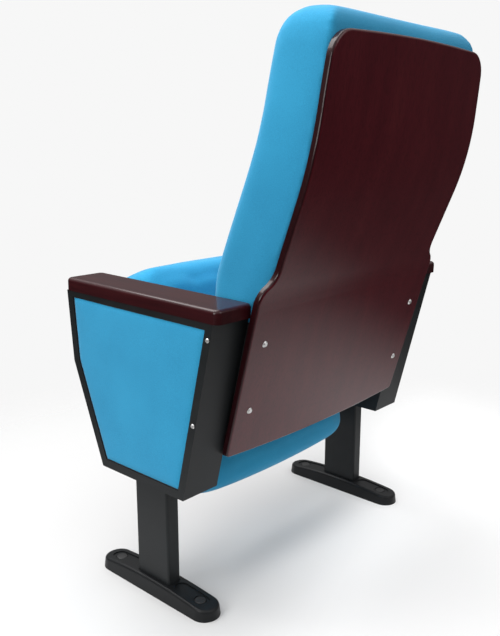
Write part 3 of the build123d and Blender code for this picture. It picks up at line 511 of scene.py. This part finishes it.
@dataclass(frozen=True)
class PowderCoat:
    """Black powder coat with a fine texture."""

    colour: Triple = (0.0112, 0.0126, 0.0136)
    roughness: float = 0.46
    grit_scale: float = 900.0
    dust_scale: float = 12.0

    def build(self, name: str) -> bpy.types.Material:
        """Make the material.

        Args:
            name: The material's name.

        Returns:
            The material.
        """
        g = Graph(name)
        g.set(specular_ior_level=0.24)
        where = g.place()
        grit = g.noise(where, self.grit_scale, 3)
        dust = g.noise(where, self.dust_scale, 4)
        paler = tuple(1.5 * value for value in self.colour)
        g.feed(g.ramp(dust, [(0.35, self.colour), (0.8, paler)]), "Base Color")
        g.feed(g.math("MULTIPLY_ADD", dust, 0.16, self.roughness - 0.08), "Roughness")
        g.bump(grit, 0.22, 0.0004)
        return g.material


@dataclass(frozen=True)
class SeamShadePlywood:
    """Plywood made dark, for painted shade where its edges show in the gaps around the cloth, with its
    straight grain still to be seen.
    """

    # painted shade: dark tones, so that the board's edges in the gaps around the cloth read as shaded
    # seams
    dark: Triple = (0.012, 0.009, 0.008)
    light: Triple = (0.040, 0.030, 0.024)
    stretch: Triple = (1.0, 1.0, 0.05)
    grain_scale: float = 60.0

    def build(self, name: str) -> bpy.types.Material:
        """Make the material.

        Args:
            name: The material's name.

        Returns:
            The material.
        """
        g = Graph(name)
        g.set(roughness=0.7)
        grain = g.noise(g.place(scale=self.stretch), self.grain_scale, 6)
        g.feed(g.ramp(grain, [(0.3, self.dark), (0.7, self.light)]), "Base Color")
        g.bump(grain, 0.2, 0.0005)
        return g.material


@dataclass(frozen=True)
class PlatedSteel:
    """Plated steel with fine tool marks."""

    colour: Triple
    roughness: float
    mark_scale: float = 500.0

    def build(self, name: str) -> bpy.types.Material:
        """Make the material.

        Args:
            name: The material's name.

        Returns:
            The material.
        """
        g = Graph(name)
        g.set(metallic=1.0)
        marks = g.noise(g.place(), self.mark_scale, 4)
        darker = tuple(0.72 * value for value in self.colour)
        g.feed(g.ramp(marks, [(0.3, darker), (0.7, self.colour)]), "Base Color")
        g.feed(g.math("MULTIPLY_ADD", marks, 0.2, self.roughness - 0.1), "Roughness")
        g.bump(marks, 0.08, 0.0002)
        return g.material


@dataclass(frozen=True)
class MouldedPolymer:
    """Black nylon or rubber with a faint moulded grain."""

    colour: Triple
    roughness: float
    grain_scale: float = 350.0

    def build(self, name: str) -> bpy.types.Material:
        """Make the material.

        Args:
            name: The material's name.

        Returns:
            The material.
        """
        g = Graph(name)
        grain = g.noise(g.place(), self.grain_scale, 3)
        paler = tuple(1.6 * value for value in self.colour)
        g.feed(g.ramp(grain, [(0.3, self.colour), (0.75, paler)]), "Base Color")
        g.set(roughness=self.roughness)
        g.bump(grain, 0.15, 0.0003)
        return g.material


@dataclass
class Finishes:
    """All the materials of the chair."""

    made: dict[Finish, bpy.types.Material] = field(default_factory=dict)

    def build(self) -> None:
        """Make every material once."""
        # Painted shade: the armrest's copy of the same mahogany has much darker tones, to make up for the
        # stronger light and reflection on its top; edge=1.0 paints no side shade.
        level_wood = LacqueredWood(
            dark=(0.0210, 0.0018, 0.0032),
            middle=(0.0330, 0.0034, 0.0052),
            light=(0.0500, 0.0072, 0.0086),
            stretch=(1.0, 0.05, 1.0),
            edge=1.0,
        )
        recipes = {
            Finish.CLOTH: Upholstery(),
            Finish.SEAT_CLOTH: Upholstery(lean=SEAT_SLOPE - 90),
            Finish.UPRIGHT_WOOD: LacqueredWood(),
            Finish.LEVEL_WOOD: level_wood,
            Finish.POWDER: PowderCoat(),
            # Painted shade: a darker copy of the same black powder coat for the feet, whose tops otherwise
            # catch too much of the bright ceiling.
            Finish.SHADED_FOOT_COAT: PowderCoat((0.0055, 0.0062, 0.0070), 0.42),
            Finish.PLYWOOD: SeamShadePlywood(),
            Finish.ZINC: PlatedSteel((0.5, 0.51, 0.53), 0.36),
            Finish.NICKEL: PlatedSteel((0.86, 0.85, 0.84), 0.48),
            Finish.NYLON: MouldedPolymer((0.007, 0.0072, 0.008), 0.5),
            Finish.RUBBER: MouldedPolymer((0.012, 0.012, 0.013), 0.75),
        }
        self.made = {finish: recipe.build(finish.value) for finish, recipe in recipes.items()}

    def of_slot(self, slot: str, node: str) -> bpy.types.Material:
        """Material of a solid.

        Args:
            slot: The record's material slot.
            node: The node's name.

        Returns:
            The material.
        """
        finishes = {
            Slot.BLACK_STEEL: Finish.SHADED_FOOT_COAT if "foot" in node else Finish.POWDER,
            Slot.FABRIC: Finish.CLOTH,
            Slot.MAHOGANY: Finish.LEVEL_WOOD if "armrest" in node else Finish.UPRIGHT_WOOD,
            Slot.PLYWOOD: Finish.PLYWOOD,
            Slot.ZINC_STEEL: Finish.ZINC,
            Slot.BRIGHT_SCREW: Finish.NICKEL,
            Slot.NYLON: Finish.NYLON,
            Slot.RUBBER: Finish.RUBBER,
        }
        return self.made[finishes[Slot(slot)]]

    def dress_solids(self, frame: dict) -> None:
        """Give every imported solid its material.
        """
        for row in frame["record"]["subparts"]:
            solid = frame["nodes"][row["node"]]
            material = self.of_slot(row["material_slot"], row["node"])
            if not solid.material_slots:
                solid.data.materials.append(material)
            for place in solid.material_slots:
                place.material = material


@dataclass
class Cushion:
    """A foam pad in a sewn cloth cover, swollen by a short cloth simulation."""

    name: str
    node: str
    body: str
    fill: float = 0.8
    voxel: float = 0.007
    smooth_passes: int = 14
    rear_facing: float = 0.4
    pressure: float = 4.0
    frames: int = 20
    most_swell: float = 0.006
    most_draw: float = 0.0006
    iron_passes: int = 12
    keep: float = 1.0

    def held(self, place: Vector, normal: Vector) -> bool:
        """Whether a point of the cover is fixed to what is behind it.

        Args:
            place: The point; not used here.
            normal: The cover's normal there.

        Returns:
            True for the points that stay.
        """
        return normal.y > self.rear_facing

    def block(self, frame: dict) -> bpy.types.Object:
        """Even skin of the foam, from a copy of its solid.


        Returns:
            The new object.
        """
        piece = bpy.data.objects.new(self.name, frame["nodes"][self.node].data.copy())
        bpy.context.scene.collection.objects.link(piece)
        piece.data.materials.clear()
        edit_all(piece)
        bpy.ops.mesh.remove_doubles(threshold=SAME_POINT)
        bpy.ops.object.mode_set(mode="OBJECT")
        skin = piece.modifiers.new("Skin", "REMESH")
        skin.mode = "VOXEL"
        skin.voxel_size = self.voxel
        apply_modifier(piece, "Skin")
        return piece

    def hold(self, piece: bpy.types.Object) -> None:
        """Group the points that stay and the points that are free.

        Args:
            piece: The cushion.
        """
        fixed = piece.vertex_groups.new(name="fixed")
        free = piece.vertex_groups.new(name="free")
        for vertex in piece.data.vertices:
            group = fixed if self.held(vertex.co, vertex.normal) else free
            group.add([vertex.index], 1.0, "REPLACE")

    def soften(self, piece: bpy.types.Object) -> None:
        """Smooth the free skin.

        Args:
            piece: The cushion.
        """
        ease = piece.modifiers.new("Ease", "SMOOTH")
        ease.factor = 0.5
        ease.iterations = self.smooth_passes
        ease.vertex_group = "free"
        apply_modifier(piece, "Ease")

    def swell(self, piece: bpy.types.Object) -> None:
        """Blow the cover out with Cloth, within the most that foam and cover give.

        Args:
            piece: The cushion.
        """
        start = [(vertex.co.copy(), vertex.normal.copy()) for vertex in piece.data.vertices]
        cloth = piece.modifiers.new("Swell", "CLOTH")
        cloth.settings.quality = 5
        cloth.settings.vertex_group_mass = "fixed"
        cloth.settings.use_pressure = True
        cloth.settings.uniform_pressure_force = self.pressure
        cloth.settings.effector_weights.gravity = 0.0
        cloth.point_cache.frame_start = 1
        cloth.point_cache.frame_end = self.frames
        for step in range(1, self.frames + 1):
            bpy.context.scene.frame_set(step)
        shaped = piece.evaluated_get(bpy.context.evaluated_depsgraph_get())
        ends = [vertex.co.copy() for vertex in shaped.to_mesh().vertices]
        shaped.to_mesh_clear()
        piece.modifiers.remove(cloth)
        bpy.context.scene.frame_set(1)
        rise = [
            min(max((end - place).dot(normal), -self.most_draw), self.most_swell)
            for (place, normal), end in zip(start, ends)
        ]
        for vertex, (place, normal), height in zip(piece.data.vertices, start, self.iron(piece, rise)):
            vertex.co = place + normal * height

    def iron(self, piece: bpy.types.Object, rise: list[float]) -> list[float]:
        """Spread the swelling over neighbouring points, so that no small pucker is left.

        Args:
            piece: The cushion.
            rise: How far each point swelled.

        Returns:
            The evened swelling, and 0 where the cover is fixed.
        """
        fixed = piece.vertex_groups["fixed"].index
        still = [any(g.group == fixed for g in vertex.groups) for vertex in piece.data.vertices]
        near: list[list[int]] = [[] for _ in rise]
        for edge in piece.data.edges:
            first, second = edge.vertices
            near[first].append(second)
            near[second].append(first)
        for _ in range(self.iron_passes):
            rise = [
                0.0 if still[i] else 0.5 * rise[i] + 0.5 * sum(rise[n] for n in near[i]) / len(near[i])
                for i in range(len(rise))
            ]
        return rise

    def refine(self, piece: bpy.types.Object) -> None:
        """Divide the cover once, thin out what it needs no faces for, and shade it smooth.

        Args:
            piece: The cushion.
        """
        fine = piece.modifiers.new("Fine", "SUBSURF")
        fine.levels = fine.render_levels = 1
        apply_modifier(piece, "Fine")
        if self.keep < 1.0:
            thin = piece.modifiers.new("Thin", "DECIMATE")
            thin.ratio = self.keep
            apply_modifier(piece, "Thin")
        activate(piece)
        bpy.ops.object.shade_smooth()
        deselect_all()

    def build(self, frame: dict, cloth: bpy.types.Material) -> bpy.types.Object:
        """Make the cushion and put it in the place of its solid.

        Args:
            cloth: The cover's material.

        Returns:
            The finished piece.
        """
        piece = self.block(frame)
        self.hold(piece)
        self.soften(piece)
        self.swell(piece)
        self.refine(piece)
        piece.data.materials.append(cloth)
        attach(piece, self.body)
        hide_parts(self.node)
        LOG.info("%s: %d faces", piece.name, len(piece.data.polygons))
        return piece


@dataclass
class SeatCushion(Cushion):
    """The tip-up seat's pad, with the pocket for its board and rails."""

    pivot: Triple = (0.0, -0.092, 0.338)
    pocket_half: float = 0.2415
    pocket_rear: float = -0.1775
    pocket_front: float = 0.2345
    pocket_top: float = 0.0285
    lower_edge: float = -0.0135
    corner_fill: float = 0.007
    fill_run: float = 0.02
    fill_half: float = 0.2

    def seat_place(self, place: Vector) -> Range:
        """Place of a point along the tipped seat.

        Args:
            place: The point.

        Returns:
            Its distance from the pivot to the front and to the top of the seat.
        """
        angle = math.radians(SEAT_SLOPE)
        offset = place - Vector(self.pivot)
        forward = offset.z * math.sin(angle) - offset.y * math.cos(angle)
        return forward, offset.y * math.sin(angle) + offset.z * math.cos(angle)

    def soften(self, piece: bpy.types.Object) -> None:
        """Smooth the free skin and fill the front corners, which the cover pulls nearly straight.

        Args:
            piece: The cushion.
        """
        super().soften(piece)
        angle = math.radians(SEAT_SLOPE)
        ahead = Vector((0.0, -math.cos(angle), math.sin(angle)))
        for vertex in piece.data.vertices:
            forward, _ = self.seat_place(vertex.co)
            share = min(max((forward - self.pocket_front) / self.fill_run, 0.0), 1.0)
            aside = min(1.0, (vertex.co.x / self.fill_half) ** 2)
            vertex.co += ahead * (share * self.corner_fill * aside)

    def held(self, place: Vector, normal: Vector) -> bool:
        """Whether a point of the cover is fixed to the board, the rails or the pan.

        Args:
            place: The point.
            normal: The cover's normal there.

        Returns:
            True for the points that stay.
        """
        forward, up = self.seat_place(place)
        inside = abs(place.x) < self.pocket_half and self.pocket_rear < forward < self.pocket_front
        return up < self.lower_edge or (inside and up < self.pocket_top)


@dataclass
class SidePanel:
    """Cloth over thin foam in the window of an arm box."""

    side: Side
    edge_plane: float = 0.34543
    depth: float = 0.0022
    edge_run: float = 0.004375
    crown: float = 0.0026
    crown_run: float = 0.05
    wall: float = 0.0012
    rows: int = 74
    spare: float = 1.02
    merge: float = 0.0002

    @property
    def node(self) -> str:
        """The solid that the panel stands for."""
        return f"{self.side.prefix}_panel_fabric"

    def edges(self, frame: dict) -> list[tuple[Vector, Vector]]:
        """Straight edges of the window's outline, from the solid's own points.


        Returns:
            Ends of each edge in order, as points of the side view.
        """
        points = [vertex.co for vertex in frame["nodes"][self.node].data.vertices]
        inner = min(abs(point.x) for point in points)
        rim = [Vector((p.y, p.z)) for p in points if abs(abs(p.x) - inner) < SAME_POINT]
        corners = [max(rim, key=Vector(corner.value).dot) for corner in Corner]
        return list(zip(corners, corners[1:] + corners[:1]))

    def sheet(self, edges: list[tuple[Vector, Vector]]) -> bpy.types.Object:
        """Cut an even grid to the window's outline.

        Args:
            edges: Edges of the outline.

        Returns:
            The flat sheet.
        """
        low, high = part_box(self.node)
        deselect_all()
        bpy.ops.mesh.primitive_grid_add(
            x_subdivisions=self.rows,
            y_subdivisions=self.rows,
            size=self.spare * max(high.y - low.y, high.z - low.z),
            location=(0.0, (low.y + high.y) / 2, (low.z + high.z) / 2),
            rotation=(math.pi / 2, 0, math.pi / 2),
        )
        piece = bpy.context.object
        piece.name = f"{self.side.prefix}_side_panel"
        bpy.ops.object.transform_apply(location=True, rotation=True, scale=True)
        edit_all(piece)
        for first, second in edges:
            along = (second - first).normalized()
            bpy.ops.mesh.select_all(action="SELECT")
            bpy.ops.mesh.bisect(
                plane_co=(0, first.x, first.y), plane_no=(0, along.y, -along.x), clear_outer=True
            )
        bpy.ops.mesh.select_all(action="SELECT")
        bpy.ops.mesh.remove_doubles(threshold=self.merge)
        bpy.ops.object.mode_set(mode="OBJECT")
        return piece

    def puff(self, piece: bpy.types.Object, edges: list[tuple[Vector, Vector]]) -> None:
        """Raise the sheet over its foam, rolled down along the edges.

        Args:
            piece: The panel.
            edges: Edges of the outline.
        """
        for vertex in piece.data.vertices:
            spot = Vector((vertex.co.y, vertex.co.z))
            inward = min(self.gap(spot, first, second) for first, second in edges)
            rise = self.depth * (1 - math.exp(-inward / self.edge_run))
            swell = self.crown * (1 - math.exp(-inward / self.crown_run))
            vertex.co.x = self.side.value * (self.edge_plane + rise + swell)

    def face_outwards(self, piece: bpy.types.Object) -> None:
        """Turn all faces away from the chair.

        Args:
            piece: The panel.
        """
        edit_all(piece)
        bpy.ops.mesh.normals_make_consistent(inside=False)
        bpy.ops.object.mode_set(mode="OBJECT")
        if sum(face.normal.x for face in piece.data.polygons) * self.side.value < 0:
            edit_all(piece)
            bpy.ops.mesh.flip_normals()
            bpy.ops.object.mode_set(mode="OBJECT")

    def build(self, frame: dict, cloth: bpy.types.Material) -> bpy.types.Object:
        """Make the panel and put it in the place of its solid.

        Args:
            cloth: The cover's material.

        Returns:
            The finished piece.
        """
        edges = self.edges(frame)
        piece = self.sheet(edges)
        self.puff(piece, edges)
        self.face_outwards(piece)
        wall = piece.modifiers.new("Wall", "SOLIDIFY")
        wall.thickness = self.wall
        wall.offset = -1.0
        apply_modifier(piece, "Wall")
        settle(piece)
        piece.data.materials.append(cloth)
        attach(piece, "frame")
        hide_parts(self.node)
        LOG.info("%s: %d faces", piece.name, len(piece.data.polygons))
        return piece

    @staticmethod
    def gap(spot: Vector, first: Vector, second: Vector) -> float:
        """Distance from a point to a straight edge.

        Args:
            spot: The point.
            first: Start of the edge.
            second: End of the edge.

        Returns:
            The distance in metres.
        """
        along = (second - first).normalized()
        offset = spot - first
        return abs(along.x * offset.y - along.y * offset.x)


@dataclass
class BoltCap:
    """Black plug over a floor bolt, in the round seat of a foot."""

    radius: float = 0.0113
    base: float = 0.0141
    top: float = 0.0232
    pitch: float = 0.228
    edge: float = 0.0018

    def model(self) -> bpy.types.Object:
        """Make one plug on the Z axis.

        Returns:
            The plug.
        """
        deselect_all()
        bpy.ops.mesh.primitive_cylinder_add(
            vertices=64,
            radius=self.radius,
            depth=self.top - self.base,
            location=(0, 0, (self.top + self.base) / 2),
        )
        cap = bpy.context.object
        edge = cap.modifiers.new("Edge", "BEVEL")
        edge.width = self.edge
        edge.segments = 4
        edge.limit_method = "ANGLE"
        apply_modifier(cap, "Edge")
        settle(cap)
        return cap

    def build(self, material: bpy.types.Material) -> None:
        """Put a plug over each bolt of both feet.

        Args:
            material: The plugs' material.
        """
        first = self.model()
        first.data.materials.append(material)
        for side in Side:
            low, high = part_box(f"{side.prefix}_foot")
            for end, along in (("front", -1), ("rear", 1)):
                cap = first.copy()
                cap.data = first.data.copy()
                cap.name = f"{side.prefix}_{end}_bolt_cap"
                bpy.context.scene.collection.objects.link(cap)
                cap.location = ((low.x + high.x) / 2, (low.y + high.y + along * self.pitch) / 2, 0)
                settle(cap)
                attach(cap, "frame")
                LOG.info("%s: %d faces", cap.name, len(cap.data.polygons))
        bpy.data.objects.remove(first)


@dataclass(frozen=True)
class Lamp:
    """A soft square light of the studio."""

    name: str
    place: Triple
    target: Triple
    size: float
    power: float

    def hang(self) -> None:
        """Hang the light and point it at its target."""
        data = bpy.data.lights.new(self.name, "AREA")
        data.size = self.size
        data.energy = self.power
        light = bpy.data.objects.new(self.name, data)
        bpy.context.scene.collection.objects.link(light)
        light.location = self.place
        aim = Vector(self.target) - Vector(self.place)
        light.rotation_euler = aim.to_track_quat("-Z", "Y").to_euler()


@dataclass
class Studio:
    """Pale floor, soft light and the camera of the photograph."""

    eye: Triple = (1.1668, 1.0119, 0.8448)
    heading: float = 48.04
    pitch: float = 13.0
    lens: float = 42.58
    floor_size: float = 24.0
    floor_colour: Triple = (0.66, 0.66, 0.66)
    fade_reach: Range = (0.45, 1.35)
    glow: float = 0.38
    glow_reach: Range = (0.0, 0.28)
    glow_side: Triple = (-0.35, 0.94, 0.0)
    backdrop: float = 0.93
    room: float = 0.05
    ceiling: float = 1.02
    ceiling_reach: Range = (0.1, 0.8)
    wall: float = 0.15
    wall_reach: Range = (0.5, 0.9)
    wall_side: Triple = (-0.74, -0.67, 0.0)
    lamps: tuple[Lamp, ...] = (
        Lamp("key", place=(0.4, -0.9, 2.7), target=(0.0, 0.0, 0.5), size=2.0, power=62.0),
        Lamp("fill", place=(2.3, 0.1, 1.2), target=(0.1, 0.0, 0.5), size=1.2, power=22.0),
        Lamp("rear", place=(-0.3, 2.1, 2.1), target=(0.0, 0.2, 0.7), size=1.4, power=9.0),
    )

    def camera(self) -> None:
        """Set the camera where the photograph was taken."""
        data = bpy.data.cameras.new("camera")
        data.lens = self.lens
        data.sensor_width = 36.0
        data.clip_end = 200.0
        camera = bpy.data.objects.new("camera", data)
        bpy.context.scene.collection.objects.link(camera)
        turn, dip = math.radians(self.heading), math.radians(self.pitch)
        level = math.cos(dip)
        look = Vector((-math.sin(turn) * level, -math.cos(turn) * level, -math.sin(dip)))
        camera.location = self.eye
        camera.rotation_euler = look.to_track_quat("-Z", "Y").to_euler()
        bpy.context.scene.camera = camera

    def floor(self) -> None:
        """Lay a pale floor that glows behind the chair and fades out into the backdrop."""
        deselect_all()
        bpy.ops.mesh.primitive_circle_add(vertices=96, radius=self.floor_size / 2, fill_type="NGON")
        floor = bpy.context.object
        floor.name = "floor"
        g = Graph("pale_floor")
        g.set(base_color=(*self.floor_colour, 1.0), roughness=0.7, specular_ior_level=0.1)
        g.set(emission_color=WHITE)
        where = g.place()
        reach = g.add("ShaderNodeVectorMath", {0: where}, operation="LENGTH").outputs["Value"]
        g.feed(g.ease(reach, self.fade_reach, (1.0, 0.0)), "Alpha")
        behind = g.dot(where, self.glow_side)
        g.feed(g.ease(behind, self.glow_reach, (0.0, self.glow)), "Emission Strength")
        floor.data.materials.append(g.material)

    def surroundings(self) -> None:
        """White backdrop for what is seen, and for light a dim room with a bright ceiling and one wall."""
        world = bpy.data.worlds.new("studio")
        world.use_nodes = True
        t = Tree(world.node_tree)
        toward = t.add("ShaderNodeTexCoord").outputs["Generated"]
        above = t.ease(t.dot(toward, (0.0, 0.0, 1.0)), self.ceiling_reach, (self.room, self.ceiling))
        ahead = t.ease(t.dot(toward, self.wall_side), self.wall_reach, (self.room, self.wall))
        light = t.nodes["Background"]
        light.inputs["Color"].default_value = WHITE
        t.links.new(t.math("MAXIMUM", above, ahead), light.inputs["Strength"])
        seen = t.add("ShaderNodeBackground", {"Color": WHITE, "Strength": self.backdrop})
        by_camera = t.add("ShaderNodeLightPath").outputs["Is Camera Ray"]
        blend = t.add("ShaderNodeMixShader", {0: by_camera, 1: light.outputs[0], 2: seen.outputs[0]})
        t.links.new(blend.outputs[0], t.nodes["World Output"].inputs["Surface"])
        bpy.context.scene.world = world

    def build(self) -> None:
        """Set up the whole studio."""
        scene = bpy.context.scene
        scene.view_settings.view_transform = "Standard"
        scene.view_settings.look = "None"
        self.surroundings()
        self.floor()
        for lamp in self.lamps:
            lamp.hang()
        self.camera()


def main() -> None:
    """Build the chair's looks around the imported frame."""
    logging.basicConfig(level=logging.INFO, format="%(name)s: %(message)s")
    for start in ("Cube", "Light", "Camera"):
        found = bpy.data.objects.get(start)
        if found is not None:
            bpy.data.objects.remove(found)
    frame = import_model()
    finishes = Finishes()
    finishes.build()
    finishes.dress_solids(frame)
    Cushion("back_cushion", "back_pad", "frame").build(frame, finishes.made[Finish.CLOTH])
    seat = SeatCushion("seat_cushion", "seat_pad", "seat", voxel=0.0055, keep=0.6)
    seat.build(frame, finishes.made[Finish.SEAT_CLOTH])
    for side in Side:
        SidePanel(side).build(frame, finishes.made[Finish.CLOTH])
    BoltCap().build(finishes.made[Finish.NYLON])
    Studio().build()


if __name__ == "__main__":
    main()
